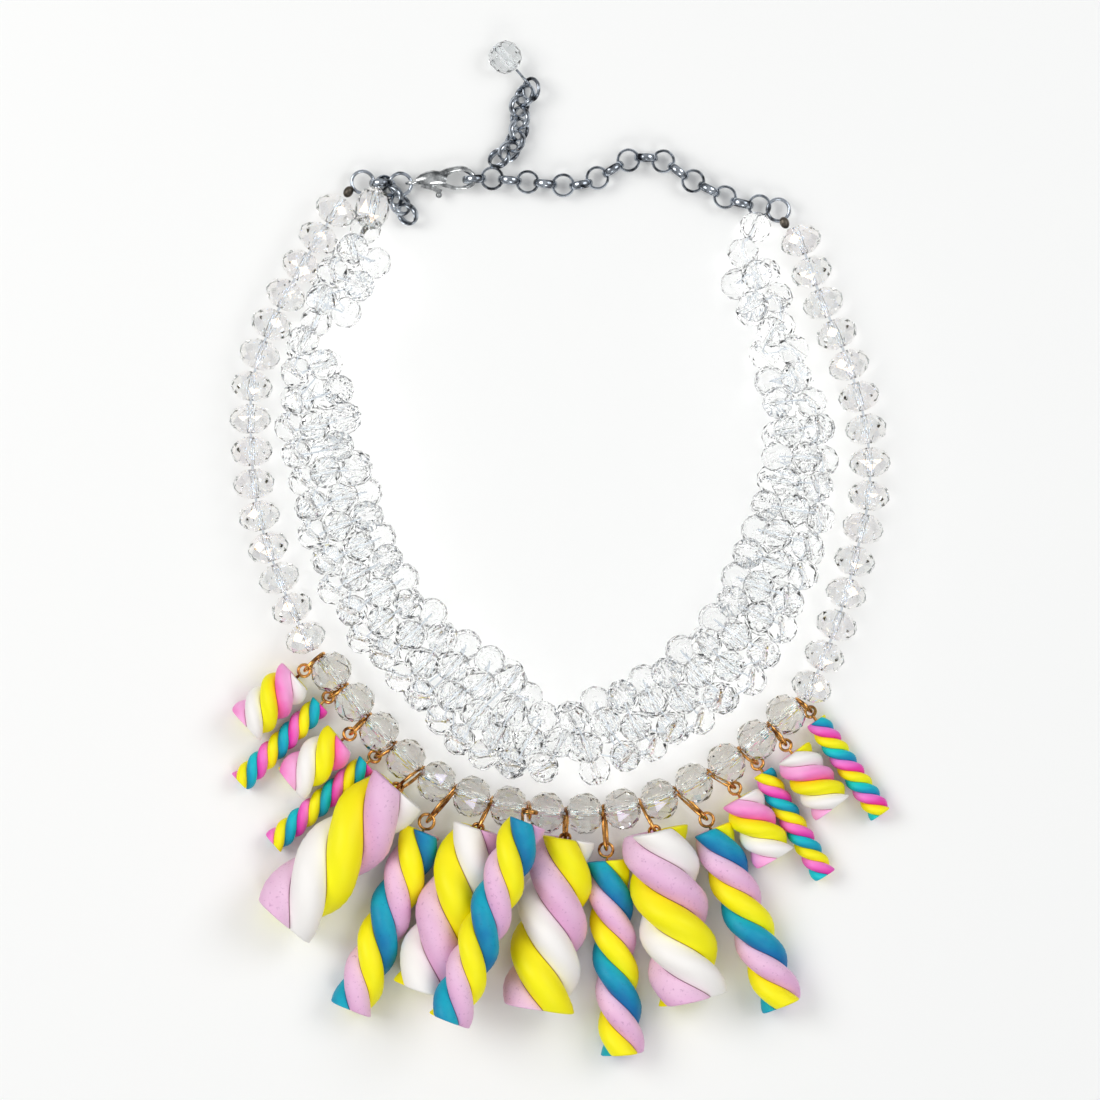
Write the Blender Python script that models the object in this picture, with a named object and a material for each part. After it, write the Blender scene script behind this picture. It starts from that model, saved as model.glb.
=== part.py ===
"""Charm necklace laid flat, front side up: clay marshmallow twists on faceted glass beads.

Metres, +Z up, the floor at z = 0 and the wearer's neck at +Y. An outer strand of glass
beads carries sixteen twists on gold rings. A woven rope of smaller beads lies inside it,
and a link chain with a hook clasp closes both at the back of the neck.
"""

import math
from collections import namedtuple

import bmesh
import bpy
from mathutils import Vector

MM = 0.001

# One pixel of the reference photograph is a quarter of a millimetre, from its 10 mm beads.
PIXEL = 0.25 * MM
# The pixel that lies over the middle of the necklace.
PHOTO_MIDDLE = (560.1, 548.7)

# Beads and threads
THREAD_RADIUS = 0.4 * MM
RONDELLE_RADIUS = 5.3 * MM
RONDELLE_LENGTH = 7.4 * MM
RONDELLES_A_SIDE = 15
FRONT_BEAD_RADIUS = 5.2 * MM
FRONT_BEAD_LENGTH = 7.5 * MM
FRONT_BEADS = 15
ROPE_BEAD_RADIUS = 4.0 * MM
BEAD_SIDES = 7
# A bead's end face and a rondelle's flat girdle, as shares of its radius and its half length.
BEAD_END = 0.37
RONDELLE_GIRDLE = 0.18
BEAD_LIP = 0.1 * MM

# Metal
RING_WIRE = 0.42 * MM
RING_HALF_WIDTH = 2.3 * MM
# A ring hangs this share of its reach lower on the thread.
RING_SLACK = 0.05
EYE_WIRE = 0.42 * MM
EYE_RADIUS = 1.95 * MM
HIDDEN_EYE_RADIUS = 1.45 * MM
EYE_STEPS = 6
LINK_RADIUS = 2.5 * MM
LINK_STEPS = 6
LINK_WIRE = 0.4 * MM
LINK_PITCH = 4.15 * MM
CHAIN_HEIGHT = 2.9 * MM
CLASP_RING_RADIUS = 2.75 * MM
CLASP_THICKNESS = 3.0 * MM
CLASP_SIDES = 8
CLASP_EYE_RADIUS = 1.5 * MM
CLASP_EYE_WIRE = 0.5 * MM
HOOK_HALF_LENGTH = 4.3 * MM
HOOK_HALF_WIDTH = 2.5 * MM
HOOK_WIRE = 0.8 * MM
HOOK_STEPS = 12
HOOK_SIDES = 6
KNOB_RADIUS = 1.1 * MM
CRIMP_RADIUS = 1.6 * MM
CRIMP_HEIGHT = 4.6 * MM
DANGLE_RADIUS = 4.2 * MM
DANGLE_HALF_LENGTH = 3.9 * MM
DANGLE_HALF_GIRDLE = 0.6 * MM
DANGLE_END_RADIUS = 1.4 * MM
PIN_LOOP_RADIUS = 1.4 * MM
PIN_SIDES = 4

# Faces that meet at more than this angle are shaded with a sharp edge.
SHARP_ANGLE = math.radians(25)

# Neighbouring pieces stay this far apart.
GAP = 0.3 * MM

# How far a lobe's middle lies from a twist's axis, and a lobe's own radius, of the twist's.
LOBE_OFFSET = 0.40
LOBE_RADIUS = 0.60
STRANDS = 3
END_TAPER = 0.93
# A deep end's rim, the floor of its hollow and the hollow's depth.
HOLLOW_RIM = 0.55
HOLLOW_FLOOR = 0.30
HOLLOW_DEPTH = 3.6 * MM
# How far a hidden wire eye sits into its hollow.
EYE_SUNK = 2.2 * MM

Kind = namedtuple("Kind", "radius around steps_a_turn")
FAT_LARGE = Kind(radius=9.3 * MM, around=12, steps_a_turn=9)
THIN_LARGE = Kind(radius=5.7 * MM, around=9, steps_a_turn=9)
FAT_SMALL = Kind(radius=5.6 * MM, around=9, steps_a_turn=9)
THIN_SMALL = Kind(radius=3.1 * MM, around=6, steps_a_turn=8)

# A twist's two ends, the pixel distance from its eye end to the first crease on top, and
# from crease to crease. A deep end hides its wire eye in a hollow between the strands.
# The lift of its two ends is over lying on the floor, and the neck is how much of its
# radius the eye end keeps.
Twist = namedtuple(
    "Twist",
    "kind eye_end far_end crease spacing deep_end lift neck",
    defaults=(False, (0.0, 0.0), END_TAPER),
)
TWISTS = [
    Twist(FAT_SMALL, (296, 678), (245, 725), 6, 20.5),
    Twist(THIN_SMALL, (320, 705), (239, 783), 1, 14.5),
    Twist(FAT_SMALL, (341, 741), (289, 783), 7.6, 25),
    Twist(THIN_SMALL, (366, 764), (272, 844), 15, 15.3),
    Twist(FAT_LARGE, (397, 788), (281, 919), -6, 55.5, True, (0, 0), 0.9),
    Twist(THIN_LARGE, (422.5, 832), (351, 1010), 13, 36),
    Twist(FAT_LARGE, (478, 828), (426, 991), 46, 50, True, (0, 0), 0.76),
    Twist(THIN_LARGE, (526, 820), (449, 1017), 26, 34.2, False, (14.0 * MM, 15.8 * MM)),
    Twist(FAT_LARGE, (565, 838), (537.5, 1008), 32, 45, True, (0, 0), 0.8),
    Twist(THIN_LARGE, (607, 861), (623, 1055), 2, 34.5),
    Twist(FAT_LARGE, (654.5, 831), (691.5, 1000), 25.5, 43, True, (0, 0), 0.93),
    Twist(THIN_LARGE, (711, 830), (784, 1006), 28.5, 34.4),
    Twist(FAT_SMALL, (740.5, 798), (775.5, 859), 2, 22.3),
    Twist(THIN_SMALL, (763.5, 773), (825.5, 877), 1, 14.6),
    Twist(FAT_SMALL, (792.5, 754), (833.5, 808), 15, 17.9),
    Twist(THIN_SMALL, (817, 721), (882, 815), 7, 13.6),
]

# Routes of the strands and chains, as pixels.
LEFT_ROUTE = [
    (335, 210), (303, 263), (272, 322), (252, 382), (251, 448), (258, 513), (279, 579), (305, 638),
]
FRONT_ROUTE = [
    (331, 672), (377, 730), (433, 780), (508, 807), (584, 814), (662, 799), (729, 762), (786, 715),
]
RIGHT_ROUTE = [
    (801, 240), (822, 299), (847, 358), (866, 425), (870, 490), (856, 557), (838, 622), (812, 687),
]
CHAIN_ROUTE = [
    (474, 178), (489, 177), (529, 181), (578, 184), (606, 172), (632, 158), (661, 159), (692, 179),
    (735, 200), (760, 205),
]
EXTENDER_ROUTE = [(492.5, 161), (501, 150), (514, 132), (521.5, 104)]
TAIL_ROUTE = [(401, 199.8), (410.4, 213.4)]

# Single pieces at the back of the neck, as pixels.
LEFT_RING = (362, 181)
CLASP_LINK = (380.7, 182)
CLASP_RING = (400, 183)
RIGHT_RING = (779, 209)
OPEN_RING = (531, 88)
CLASP_EYE = (412.3, 182)
CLASP_BODY = [(418, 182, 5), (430, 182, 10), (440, 181, 12), (446, 180, 9)]
CLASP_HOOK = (458, 178)
CLASP_KNOB = (438, 194)
DANGLE_PIN = [(523, 76), (516, 68)]
DANGLE_BEAD = (505, 56)
LEFT_CRIMP = (348, 191)
RIGHT_CRIMP = (785, 222)

# The woven rope's middle line, with its half width, as pixels. Its halves meet in front.
LEFT_ROPE = [
    (376, 213, 16), (366, 240, 22), (356, 263, 30), (335, 295, 28), (319, 322, 20), (313, 352, 24),
    (317, 387, 32), (321, 430, 39), (333, 480, 41), (343, 530, 43), (363, 575, 45), (393, 622, 46),
    (445, 672, 46), (478, 701, 53), (503, 724, 48), (530, 740, 38), (548, 747, 30),
]
RIGHT_ROPE = [
    (590, 739, 42), (606, 735, 47), (630, 721, 45), (664, 703, 42), (704, 677, 47), (736, 645, 45),
    (760, 600, 43), (780, 550, 41), (794, 505, 39), (800, 455, 35), (792, 405, 31), (781, 360, 27),
    (769, 318, 27), (753, 283, 28), (746, 254, 22), (753, 229, 16),
]
ROPE_STATION = 9.6 * MM
ROPE_RISE = 4.2 * MM
# A core narrower than the first rounds a zigzag of single beads, and reaches the floor from
# the second on.
ZIGZAG_SPREAD = 3.6 * MM
CORE_FULL_SPREAD = 4.0 * MM
CORE_MARGIN = 1.0 * MM


def place(pixel, height=0.0):
    """The point of the model that lies under a pixel, at a height over the floor."""
    across = (pixel[0] - PHOTO_MIDDLE[0]) * PIXEL
    up = (PHOTO_MIDDLE[1] - pixel[1]) * PIXEL
    return Vector((across, up, height))


class Path:
    """A smooth curve through points, read by the distance along it."""

    STEPS = 16

    def __init__(self, points):
        ends = [2 * points[0] - points[1], *points, 2 * points[-1] - points[-2]]
        self.points = []
        for a, b, c, d in zip(ends, ends[1:], ends[2:], ends[3:]):
            for step in range(self.STEPS):
                self.points.append(self.between(a, b, c, d, step / self.STEPS))
        self.points.append(points[-1].copy())
        self.marks = [0.0]
        for one, two in zip(self.points, self.points[1:]):
            self.marks.append(self.marks[-1] + (two - one).length)
        self.length = self.marks[-1]

    @staticmethod
    def between(a, b, c, d, t):
        bend = (2 * a - 5 * b + 4 * c - d) * t**2 + (3 * b - a - 3 * c + d) * t**3
        return 0.5 * (2 * b + (c - a) * t + bend)

    def at(self, distance):
        """The point and the direction at a distance, straight on past either end."""
        last = len(self.points) - 2
        index = next((i for i in range(last) if self.marks[i + 1] > distance), last)
        direction = (self.points[index + 1] - self.points[index]).normalized()
        return self.points[index] + direction * (distance - self.marks[index]), direction


def material(name, colour, roughness, metallic=0.0, transmission=0.0):
    """A Principled BSDF material, made once for each name."""
    made = bpy.data.materials.get(name)
    if made is None:
        made = bpy.data.materials.new(name)
        made.use_nodes = True
        shader = made.node_tree.nodes["Principled BSDF"]
        shader.inputs["Base Color"].default_value = (*colour, 1.0)
        shader.inputs["Roughness"].default_value = roughness
        shader.inputs["Metallic"].default_value = metallic
        shader.inputs["Transmission Weight"].default_value = transmission
    return made


def clay():
    return material("clay", (0.95, 0.72, 0.45), 0.55)


def glass():
    return material("clear glass", (0.97, 0.98, 1.0), 0.05, transmission=1.0)


def gold():
    return material("gold plate", (0.80, 0.50, 0.18), 0.25, metallic=1.0)


def steel():
    return material("dark steel", (0.45, 0.45, 0.47), 0.25, metallic=1.0)


def add_object(name, mesh, finish, collection):
    obj = bpy.data.objects.new(name, mesh)
    mesh.materials.append(finish)
    collection.objects.link(obj)
    return obj


def mesh_of(shape, name):
    """A mesh from a bmesh, with its faces turned outwards."""
    bmesh.ops.recalc_face_normals(shape, faces=shape.faces)
    mesh = bpy.data.meshes.new(name)
    shape.to_mesh(mesh)
    shape.free()
    mesh.shade_smooth()
    mesh.set_sharp_from_angle(angle=SHARP_ANGLE)
    return mesh


def skin(shape, rings, closed=False):
    """Skins a row of rings of points, with flat ends or joined round into a loop."""
    rows = [[shape.verts.new(point) for point in ring] for ring in rings]
    pairs = list(zip(rows, rows[1:] + rows[:1])) if closed else list(zip(rows, rows[1:]))
    for low, high in pairs:
        for i, corner in enumerate(low):
            j = (i + 1) % len(low)
            shape.faces.new((corner, low[j], high[j], high[i]))
    if not closed:
        shape.faces.new(rows[0][::-1])
        shape.faces.new(rows[-1])


def ring_round(middle, across, up, radius, sides, turn=0.5):
    """Points round a middle, with a flat side facing down when turn is a half step."""
    angles = [2 * math.pi * (i + turn) / sides - math.pi / 2 for i in range(sides)]
    return [middle + radius * (math.cos(a) * across + math.sin(a) * up) for a in angles]


def sideways(direction):
    """The level direction across a piece, and the one that is up and square to it."""
    across = direction.cross(Vector((0, 0, 1))).normalized()
    return across, across.cross(direction).normalized()


def bead_rings(middle, direction, profile, sides):
    """A bead's rings, from its profile of distances along its hole and radii."""
    across, up = sideways(direction)
    return [ring_round(middle + direction * along, across, up, radius, sides) for along, radius in profile]


def add_strand(name, route, beads, radius, profile, collection):
    """Beads on a thread, as one body: the first and last sit at the route's two ends."""
    height = radius * math.cos(math.pi / BEAD_SIDES)
    path = Path([place(pixel, height) for pixel in route])
    shape = bmesh.new()
    rings = []
    for index in range(beads):
        middle, direction = path.at(index * path.length / (beads - 1))
        rings += bead_rings(middle, direction, profile, BEAD_SIDES)
    if profile[-1][1] > THREAD_RADIUS:
        rings += bead_rings(middle, direction, [(-profile[0][0], profile[0][1])], BEAD_SIDES)
    skin(shape, rings)
    add_object(name, mesh_of(shape, name), glass(), collection)


def rondelle_profile():
    """A rondelle to its flat girdle. Its far end is the next one's near end."""
    half = RONDELLE_LENGTH / 2
    girdle = RONDELLE_GIRDLE * half
    return [(-half, BEAD_END * RONDELLE_RADIUS), (-girdle, RONDELLE_RADIUS), (girdle, RONDELLE_RADIUS)]


def front_bead_profile():
    """A round bead as two cones, with a step down to the thread at either end."""
    half = FRONT_BEAD_LENGTH / 2
    end = BEAD_END * FRONT_BEAD_RADIUS
    face = half - BEAD_LIP
    return [(-half, THREAD_RADIUS), (-face, end), (0, FRONT_BEAD_RADIUS), (face, end), (half, THREAD_RADIUS)]


def lobed_radius(angle):
    """How far a twist's section reaches at an angle from a crease, for a radius of one."""
    sector = 2 * math.pi / STRANDS
    from_peak = (angle % sector) - sector / 2
    inside = LOBE_RADIUS**2 - (LOBE_OFFSET * math.sin(from_peak)) ** 2
    return LOBE_OFFSET * math.cos(from_peak) + math.sqrt(inside)


def twist_ends(twist):
    """The middles of a twist's two ends."""
    low = twist.kind.radius
    return place(twist.eye_end, low + twist.lift[0]), place(twist.far_end, low + twist.lift[1])


def twist_width(twist, along, length):
    """How much of its radius a twist keeps, from its neck to its cut far end."""
    if along > length - 0.001 * MM:
        return END_TAPER
    rise = min(along / (3 * (1 - twist.neck) * length + MM), 1.0)
    return twist.neck + (1 - twist.neck) * math.sin(rise * math.pi / 2)


def add_twist(number, twist, collection):
    """Three strands of clay twisted together, as a loft whose creases run round it."""
    start, end = twist_ends(twist)
    length = (end - start).length
    direction = (end - start).normalized()
    across, up = sideways(direction)
    turn_length = STRANDS * twist.spacing * PIXEL
    steps = max(4, round(length / turn_length * twist.kind.steps_a_turn))
    rings = []
    for step in range(steps + 1):
        along = length * step / steps
        turned = 2 * math.pi * (along - twist.crease * PIXEL) / turn_length
        taper = twist_width(twist, along, length)
        middle = start + direction * along
        ring = []
        for corner in range(twist.kind.around):
            angle = 2 * math.pi * corner / twist.kind.around
            reach = twist.kind.radius * taper * lobed_radius(angle)
            facing = math.pi / 2 + turned + angle
            ring.append(middle + reach * (math.cos(facing) * across + math.sin(facing) * up))
        rings.append(ring)
    if twist.deep_end:
        bottom = start + direction * HOLLOW_DEPTH
        rim, floor = [[(p - start) * share for p in rings[0]] for share in (HOLLOW_RIM, HOLLOW_FLOOR)]
        rings = [[bottom + p for p in floor], [start + p for p in rim], *rings]
    for ring in rings:
        for point in ring:
            point.z = max(point.z, 0.0)
    shape = bmesh.new()
    skin(shape, rings)
    name = f"clay_twist_{number:02d}"
    add_object(name, mesh_of(shape, name), clay(), collection)


def add_loop(shape, middle, along, normal, half_length, half_width, wire, steps=8, sides=3, turn=0.0):
    """A closed wire loop, round or oval, that lies square to its normal."""
    across = normal.cross(along).normalized()
    rings = []
    for step in range(steps):
        angle = 2 * math.pi * (step + turn) / steps
        out = math.cos(angle) * half_length * along + math.sin(angle) * half_width * across
        away = (math.cos(angle) * half_width * along + math.sin(angle) * half_length * across).normalized()
        rings.append(ring_round(middle + out, away, normal, wire, sides))
    skin(shape, rings, closed=True)


def add_eye_and_ring(number, twist, strand, strand_direction, collection):
    """The loop of the pin baked into a twist, and the ring from it round the beads' thread."""
    start, end = twist_ends(twist)
    direction = (start - end).normalized()
    radius = HIDDEN_EYE_RADIUS if twist.deep_end else EYE_RADIUS
    sunk = EYE_SUNK if twist.deep_end else 0.0
    middle = start + direction * (radius + EYE_WIRE + GAP - sunk)
    along = (middle - strand).normalized()
    ring_normal = (strand_direction - strand_direction.dot(along) * along).normalized()
    eye = bmesh.new()
    add_loop(eye, middle, along, along.cross(ring_normal), radius, radius, EYE_WIRE, EYE_STEPS)
    name = f"wire_eye_{number:02d}"
    add_object(name, mesh_of(eye, name), gold(), collection)
    slack = RING_SLACK * (middle - strand).length
    first = strand - along * (THREAD_RADIUS + GAP + RING_WIRE + slack)
    half = (middle - first).length / 2
    ring = bmesh.new()
    add_loop(ring, (first + middle) / 2, along, ring_normal, half, RING_HALF_WIDTH, RING_WIRE)
    name = f"jump_ring_{number:02d}"
    add_object(name, mesh_of(ring, name), gold(), collection)


def add_front(collection):
    """The front strand, with a ring and a twist in each space between its beads."""
    add_strand("front_beads", FRONT_ROUTE, FRONT_BEADS, FRONT_BEAD_RADIUS, front_bead_profile(), collection)
    height = FRONT_BEAD_RADIUS * math.cos(math.pi / BEAD_SIDES)
    path = Path([place(pixel, height) for pixel in FRONT_ROUTE])
    pitch = path.length / (FRONT_BEADS - 1)
    for index, twist in enumerate(TWISTS):
        number = index + 1
        add_twist(number, twist, collection)
        add_eye_and_ring(number, twist, *path.at((index - 0.5) * pitch), collection)


def fuse(name, pieces, finish, collection):
    """Joins overlapping bmeshes into one body by a union."""
    base = add_object(name, mesh_of(pieces[0], name), finish, collection)
    others = bpy.data.collections.new(name + " pieces")
    bpy.context.scene.collection.children.link(others)
    for index, piece in enumerate(pieces[1:]):
        add_object(f"{name}_piece_{index}", mesh_of(piece, name), finish, others)
    union = base.modifiers.new("union", "BOOLEAN")
    union.operation = "UNION"
    union.operand_type = "COLLECTION"
    union.collection = others
    union.solver = "EXACT"
    bpy.context.view_layer.update()
    evaluated = base.evaluated_get(bpy.context.evaluated_depsgraph_get())
    mesh = bpy.data.meshes.new_from_object(evaluated)
    base.modifiers.clear()
    base.data = mesh
    for obj in list(others.objects):
        bpy.data.objects.remove(obj)
    bpy.data.collections.remove(others)
    return base


def rope_spread(half):
    """How far a rope's outer beads lie from its middle line, sideways and upwards."""
    spread = max(half - ROPE_BEAD_RADIUS, 0.0)
    return spread, min(spread, ROPE_RISE)


def rope_path(route):
    """The rope's middle line, whose fourth number is the half width there."""
    points = []
    for u, v, pixels in route:
        half = pixels * PIXEL
        middle = place((u, v), ROPE_BEAD_RADIUS + rope_spread(half)[1])
        points.append(Vector((*middle, half)))
    return Path(points)


def beads_round(spread, station):
    """Where beads show round the rope, in degrees: a zigzag, or threes and twos in turn."""
    if spread < ZIGZAG_SPREAD:
        return [180 * (station % 2)]
    return (0, 90, 180) if station % 2 else (45, 135)


def core_ring(middle, across, spread, rise):
    """The rope's core at a station. Where the rope is wide it fills down to the floor."""
    fill = min(spread / CORE_FULL_SPREAD, 1.0)
    wide = CORE_MARGIN + 0.95 * spread
    top = middle.z + CORE_MARGIN + 0.8 * rise
    foot = (middle.z - CORE_MARGIN) * (1 - fill)
    section = [(0.6, foot), (1, middle.z), (0.6, top), (-0.6, top), (-1, middle.z), (-0.6, foot)]
    return [Vector((*(middle + side * wide * across).xy, height)) for side, height in section]


def add_rope(name, route, collection):
    """Half of the woven bead rope: a core with the beads that show fused on it."""
    path = rope_path(route)
    stations = round(path.length / ROPE_STATION)
    core_rings = []
    pieces = []
    for station in range(stations + 1):
        point, heading = path.at(path.length * station / stations)
        middle = point.to_3d()
        across, up = sideways(heading.to_3d().normalized())
        spread, rise = rope_spread(point.w)
        core_rings.append(core_ring(middle, across, spread, rise))
        for degrees in beads_round(spread, station):
            angle = math.radians(degrees)
            out = spread * math.cos(angle) * across + rise * math.sin(angle) * up
            shape = bmesh.new()
            bmesh.ops.create_icosphere(shape, subdivisions=1, radius=ROPE_BEAD_RADIUS)
            bmesh.ops.translate(shape, vec=middle + out, verts=shape.verts)
            pieces.append(shape)
    core = bmesh.new()
    skin(core, core_rings)
    fuse(name, [core, *pieces], glass(), collection)


def chain_link(middle, direction, upright):
    """One round link, standing on its edge or lying level along the chain."""
    across, up = sideways(direction)
    shape = bmesh.new()
    normal = across if upright else up
    add_loop(shape, middle, direction, normal, LINK_RADIUS, LINK_RADIUS, LINK_WIRE, LINK_STEPS, turn=0.5)
    return shape


def chain_links(route):
    """Round links along a route, upright and level in turn, from an upright one."""
    path = Path([place(pixel, CHAIN_HEIGHT) for pixel in route])
    links = round(path.length / LINK_PITCH)
    return [chain_link(*path.at(path.length * i / links), i % 2 == 0) for i in range(links + 1)]


def level_ring(pixel):
    shape = bmesh.new()
    middle = place(pixel, CHAIN_HEIGHT)
    radius = CLASP_RING_RADIUS
    add_loop(shape, middle, Vector((1, 0, 0)), Vector((0, 0, 1)), radius, radius, LINK_WIRE)
    return shape


def ball(pixel, height, radius):
    shape = bmesh.new()
    bmesh.ops.create_icosphere(shape, subdivisions=1, radius=radius)
    bmesh.ops.translate(shape, vec=place(pixel, height), verts=shape.verts)
    return shape


def add_chains(collection):
    """The neck chain with its extender, and the short chain that carries the clasp."""
    pieces = chain_links(CHAIN_ROUTE) + chain_links(EXTENDER_ROUTE)
    pieces += [level_ring(RIGHT_RING), level_ring(OPEN_RING)]
    fuse("neck_chain", pieces, steel(), collection)
    pieces = [level_ring(LEFT_RING), level_ring(CLASP_RING)]
    pieces.append(chain_link(place(CLASP_LINK, CHAIN_HEIGHT), Vector((1, 0, 0)), True))
    pieces += chain_links(TAIL_ROUTE)
    fuse("clasp_chain", pieces, steel(), collection)


def add_clasp(collection):
    """A lobster clasp: a tapered body, a hook that closes on it, a thumb knob and an eye."""
    right, back, up = Vector((1, 0, 0)), Vector((0, 1, 0)), Vector((0, 0, 1))
    body = bmesh.new()
    rings = []
    for u, v, pixels in CLASP_BODY:
        middle = place((u, v), CHAIN_HEIGHT)
        rings.append(ring_round(middle, pixels * PIXEL * back, CLASP_THICKNESS / 2 * up, 1.0, CLASP_SIDES))
    skin(body, rings)
    hook = bmesh.new()
    middle = place(CLASP_HOOK, CHAIN_HEIGHT)
    add_loop(hook, middle, right, up, HOOK_HALF_LENGTH, HOOK_HALF_WIDTH, HOOK_WIRE, HOOK_STEPS, HOOK_SIDES)
    eye = bmesh.new()
    middle = place(CLASP_EYE, CHAIN_HEIGHT)
    add_loop(eye, middle, right, back, CLASP_EYE_RADIUS, CLASP_EYE_RADIUS, CLASP_EYE_WIRE)
    fuse("clasp", [body, hook, eye, ball(CLASP_KNOB, CHAIN_HEIGHT, KNOB_RADIUS)], steel(), collection)


def add_crimp(name, pixel, collection):
    """The metal shell closed over the knots at a strand's end."""
    add_object(name, mesh_of(ball(pixel, CRIMP_HEIGHT, CRIMP_RADIUS), name), gold(), collection)


def add_dangle(collection):
    """The faceted bead on a pin at the end of the extender."""
    loop_end, bead_end = [place(pixel, CHAIN_HEIGHT) for pixel in DANGLE_PIN]
    direction = (loop_end - bead_end).normalized()
    across, up = sideways(direction)
    loop = bmesh.new()
    middle = loop_end + PIN_LOOP_RADIUS * direction
    add_loop(loop, middle, direction, across, PIN_LOOP_RADIUS, PIN_LOOP_RADIUS, LINK_WIRE)
    stem = bmesh.new()
    inside_loop = loop_end + LINK_WIRE * direction
    skin(stem, [ring_round(end, across, up, LINK_WIRE, PIN_SIDES) for end in (bead_end, inside_loop)])
    fuse("dangle_pin", [loop, stem], steel(), collection)
    middle = place(DANGLE_BEAD, DANGLE_RADIUS * math.cos(math.pi / BEAD_SIDES))
    half, girdle = DANGLE_HALF_LENGTH, DANGLE_HALF_GIRDLE
    profile = [(-half, DANGLE_END_RADIUS), (-girdle, DANGLE_RADIUS), (girdle, DANGLE_RADIUS),
               (half, DANGLE_END_RADIUS)]
    shape = bmesh.new()
    skin(shape, bead_rings(middle, direction, profile, BEAD_SIDES))
    add_object("dangle_bead", mesh_of(shape, "dangle_bead"), glass(), collection)


def main():
    for obj in list(bpy.data.objects):
        bpy.data.objects.remove(obj)
    collection = bpy.data.collections.new("Charm necklace")
    bpy.context.scene.collection.children.link(collection)
    add_front(collection)
    for name, route in (("left_rondelles", LEFT_ROUTE), ("right_rondelles", RIGHT_ROUTE)):
        add_strand(name, route, RONDELLES_A_SIDE, RONDELLE_RADIUS, rondelle_profile(), collection)
    add_rope("bead_rope_left", LEFT_ROPE, collection)
    add_rope("bead_rope_right", RIGHT_ROPE, collection)
    add_chains(collection)
    add_clasp(collection)
    add_crimp("left_crimp", LEFT_CRIMP, collection)
    add_crimp("right_crimp", RIGHT_CRIMP, collection)
    add_dangle(collection)


main()
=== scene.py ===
"""Looks of a charm necklace: clay marshmallow twists, cut glass beads, gold rings and steel chain."""

import math

import bmesh
import bpy
import numpy as np
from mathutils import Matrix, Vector


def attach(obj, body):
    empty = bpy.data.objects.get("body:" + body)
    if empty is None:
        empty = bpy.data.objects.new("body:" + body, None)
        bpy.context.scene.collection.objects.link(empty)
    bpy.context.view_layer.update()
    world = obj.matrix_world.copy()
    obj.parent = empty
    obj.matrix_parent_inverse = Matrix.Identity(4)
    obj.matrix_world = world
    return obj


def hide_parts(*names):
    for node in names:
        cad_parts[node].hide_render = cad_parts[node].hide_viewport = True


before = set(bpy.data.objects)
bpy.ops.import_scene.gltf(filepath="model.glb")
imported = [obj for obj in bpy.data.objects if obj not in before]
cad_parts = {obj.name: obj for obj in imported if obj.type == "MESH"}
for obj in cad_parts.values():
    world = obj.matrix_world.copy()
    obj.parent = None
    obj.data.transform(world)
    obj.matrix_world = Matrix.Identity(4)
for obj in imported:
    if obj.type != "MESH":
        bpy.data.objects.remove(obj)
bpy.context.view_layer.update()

# The studio. The necklace lies on a white sweep and is seen from straight above, through a
# long lens. A wide soft box on each side and a weaker one in front light it, under a pale
# ceiling whose dim rim gives the cut glass its grey facets.
MM = 0.001
PIXEL = 0.25 * MM
PHOTO_MIDDLE = (560.1, 548.7)
PHOTO_PIXELS = 1100
CAMERA_HEIGHT = 1.6
SENSOR_MM = 36
# The height over the floor at which the photograph's scale is true.
TRUE_HEIGHT = 8 * MM
SWEEP_REACH = 1.6
SWEEP_COLOUR = (0.925, 0.925, 0.915, 1)
# The sweep lies this far under the flat undersides, so that the two don't share a plane.
SWEEP_GAP = 0.05 * MM
# Each soft box: where it hangs, how wide it is, its watts and its colour. All face the middle.
SOFT_BOXES = {
    "left soft box": ((-0.75, 0.25, 0.85), 0.7, 5.2, (1.0, 0.99, 0.97)),
    "right soft box": ((0.75, 0.35, 0.95), 0.7, 4.0, (0.97, 0.985, 1.0)),
    "front soft box": ((0.1, -0.8, 0.9), 0.5, 1.9, (1.0, 1.0, 1.0)),
}
# The ceiling's dim rim and its bright top, each as the upward share of a direction and a colour.
CEILING_RIM = (0.02, (0.07, 0.08, 0.10, 1))
CEILING_TOP = (0.55, (0.96, 0.97, 0.98, 1))
CEILING_STRENGTH = 0.57
BACKDROP_COLOUR = (0.90, 0.92, 0.94, 1)


def place(pixel, height=0.0):
    """The point that lies under a pixel of the photograph, at a height over the floor."""
    return np.array([(pixel[0] - PHOTO_MIDDLE[0]) * PIXEL, (PHOTO_MIDDLE[1] - pixel[1]) * PIXEL, height])


def linear(*levels):
    """A linear colour with full alpha, by the sRGB curve, from display levels of 0 to 255."""
    shares = [level / 255 for level in levels]
    return tuple(s / 12.92 if s <= 0.04045 else ((s + 0.055) / 1.055) ** 2.4 for s in shares) + (1.0,)


def new_material(name):
    """A named material, its node tree and its Principled shader."""
    made = bpy.data.materials.new(name)
    made.use_nodes = True
    tree = made.node_tree
    return made, tree, tree.nodes["Principled BSDF"]


middle_of_view = place((PHOTO_PIXELS / 2, PHOTO_PIXELS / 2))
lens = bpy.data.cameras.new("overhead camera")
lens.sensor_width = SENSOR_MM
lens.lens = SENSOR_MM * (CAMERA_HEIGHT - TRUE_HEIGHT) / (PHOTO_PIXELS * PIXEL)
camera = bpy.data.objects.new("overhead camera", lens)
camera.location = (middle_of_view[0], middle_of_view[1], CAMERA_HEIGHT)
bpy.context.scene.collection.objects.link(camera)
bpy.context.scene.camera = camera

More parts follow.
